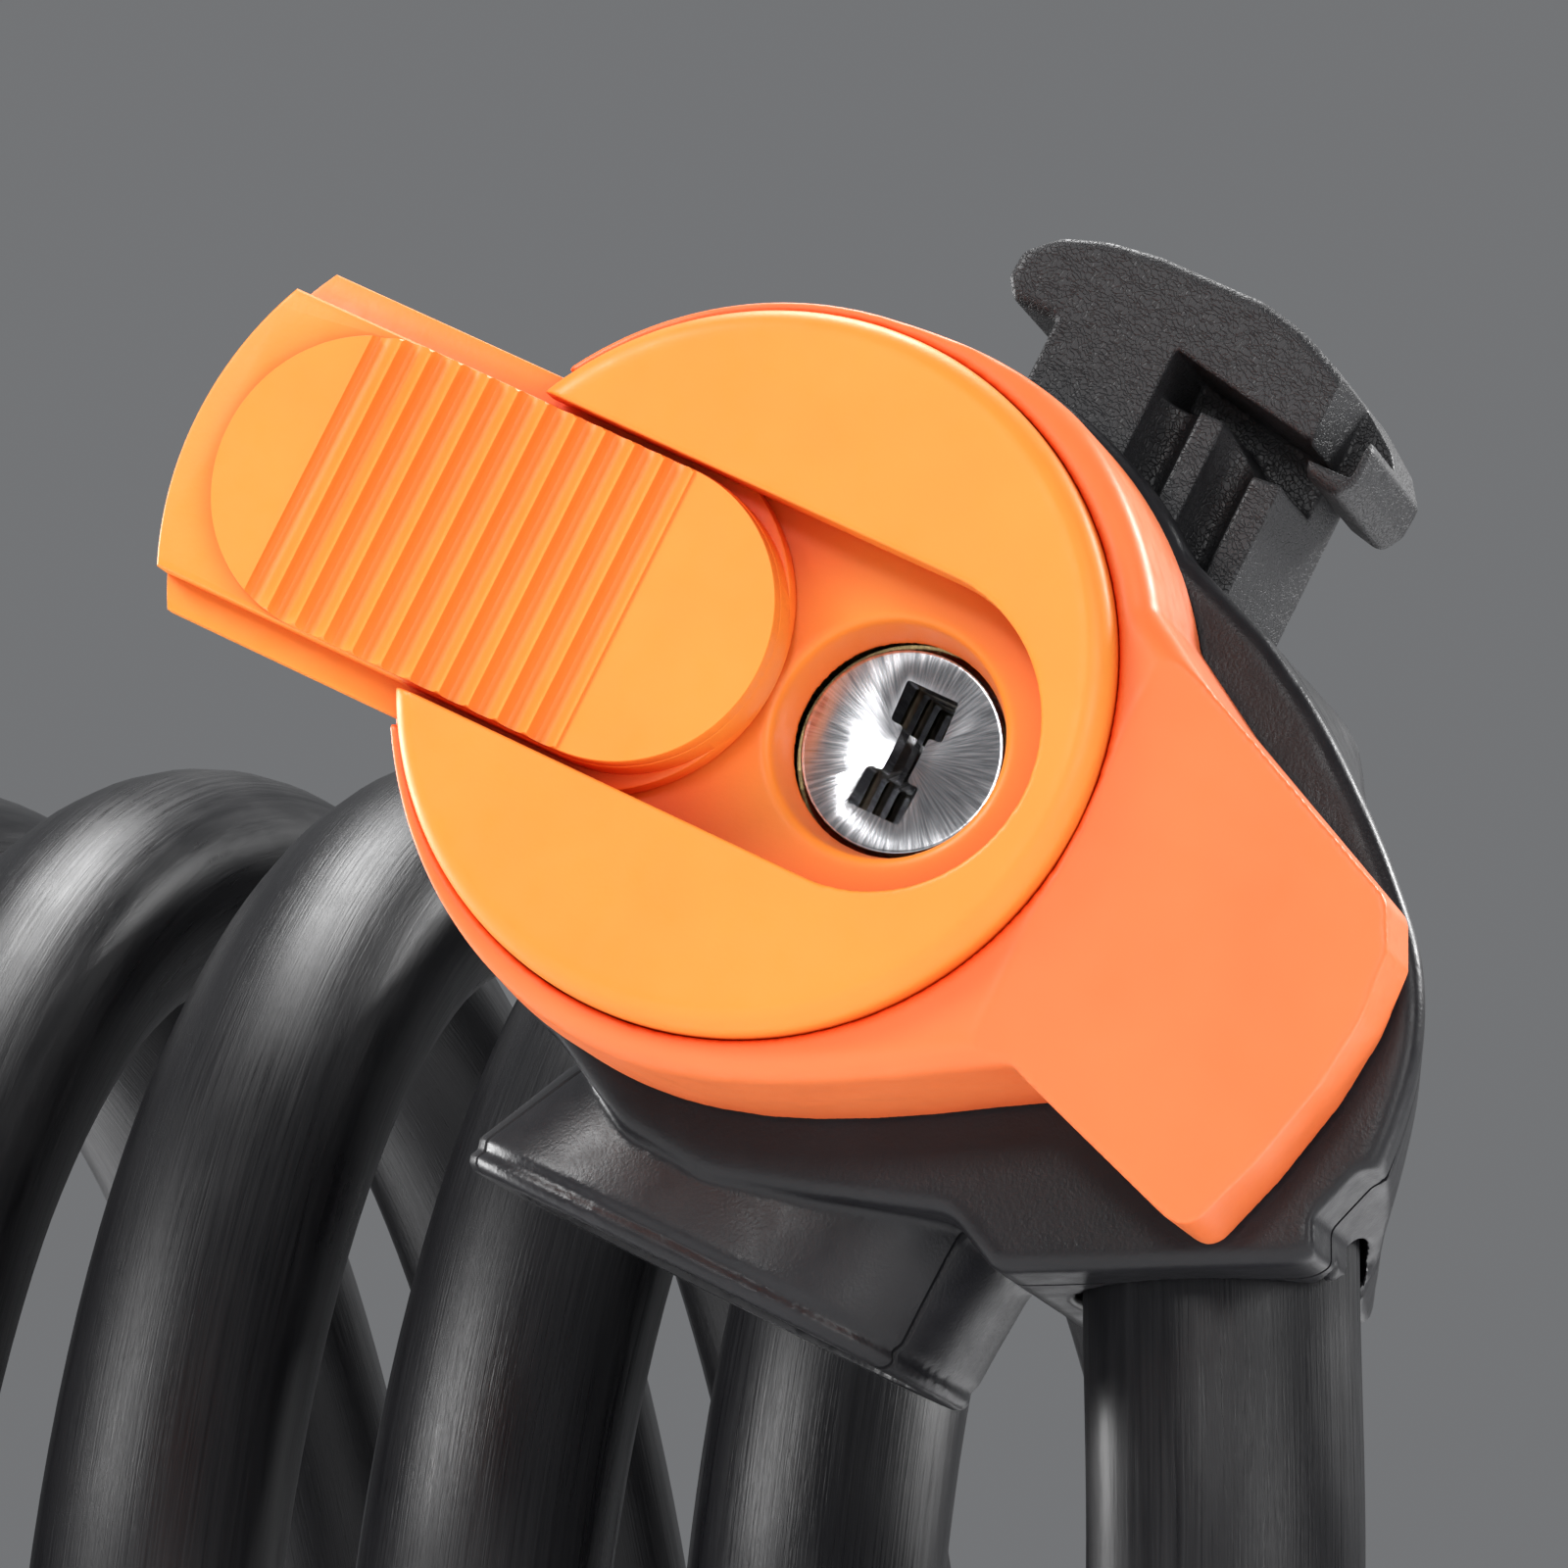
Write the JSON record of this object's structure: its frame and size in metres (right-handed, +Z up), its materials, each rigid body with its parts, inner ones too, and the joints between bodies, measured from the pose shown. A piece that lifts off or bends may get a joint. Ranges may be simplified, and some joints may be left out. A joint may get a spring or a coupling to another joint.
{
  "type": "coil cable bike lock",
  "caption": "Round key-operated lock head with a sliding dust cover, T-shaped bracket tab and skirted plug socket, fixed to one end of a coiled steel cable.",
  "frame": {"origin": "centre of the flat facet on the crown of the T-shaped bracket tab, which carries the lock", "axes": "+X to the right seen from the key side, +Y from the face towards the back and the coil, +Z up; the head leans 27.5 degrees to the right about Y"},
  "size_m": [0.1113, 0.1658, 0.1312],
  "materials": {
    "black_plastic": "fine matte grain",
    "orange_shell": "satin",
    "orange_face": "satin",
    "chrome": "turned and plated",
    "brass": "machined",
    "steel": "machined",
    "zinc": "die-cast",
    "cable_jacket": "semi-gloss PVC"
  },
  "bodies": {
    "lock_body": {"front_frame": "black_plastic", "main_housing": "black_plastic", "case_screw_1": "steel", "case_screw_2": "steel", "case_screw_3": "steel", "face_shell": "orange_shell", "channel_disc": "orange_face", "cover_detent": "steel", "cylinder_housing": "brass", "socket_liner": "steel", "socket_cap": "steel", "bracket_tab": "black_plastic", "cable_lead": "cable_jacket", "cable_coil": "cable_jacket", "cable_tail": "cable_jacket", "fixed_ferrule": "steel", "anchor_pin": "steel", "plug_boot": "black_plastic", "latch_plug": "steel"},
    "cover": {"dust_cover": "orange_face"},
    "cylinder_plug": {"key_plug": "chrome", "wafer_1": "brass", "wafer_2": "brass", "wafer_3": "brass", "wafer_4": "brass", "wafer_5": "brass", "plug_clip": "steel", "tail_cam": "zinc"},
    "bolt": {"latch_bolt": "steel"}
  },
  "joints": [
    {"name": "cover_slide", "type": "slide", "parent": "lock_body", "child": "cover", "axis": [0.887, 0, -0.4617], "range_m": [0, 0.0122]},
    {"name": "key_turn", "type": "hinge", "parent": "lock_body", "child": "cylinder_plug", "pos_m": [-0.01146, -0.015, -0.02267], "axis": [0, 1, 0], "range_deg": [0, 90]},
    {"name": "bolt_throw", "type": "slide", "parent": "lock_body", "child": "bolt", "axis": [-0.887, 0, 0.4617], "range_m": [0, 0.0036]}
  ],
  "couplings": [
    {"joint": "bolt_throw", "follows": "key_turn", "m_per_rad": 0.0022918}
  ]
}
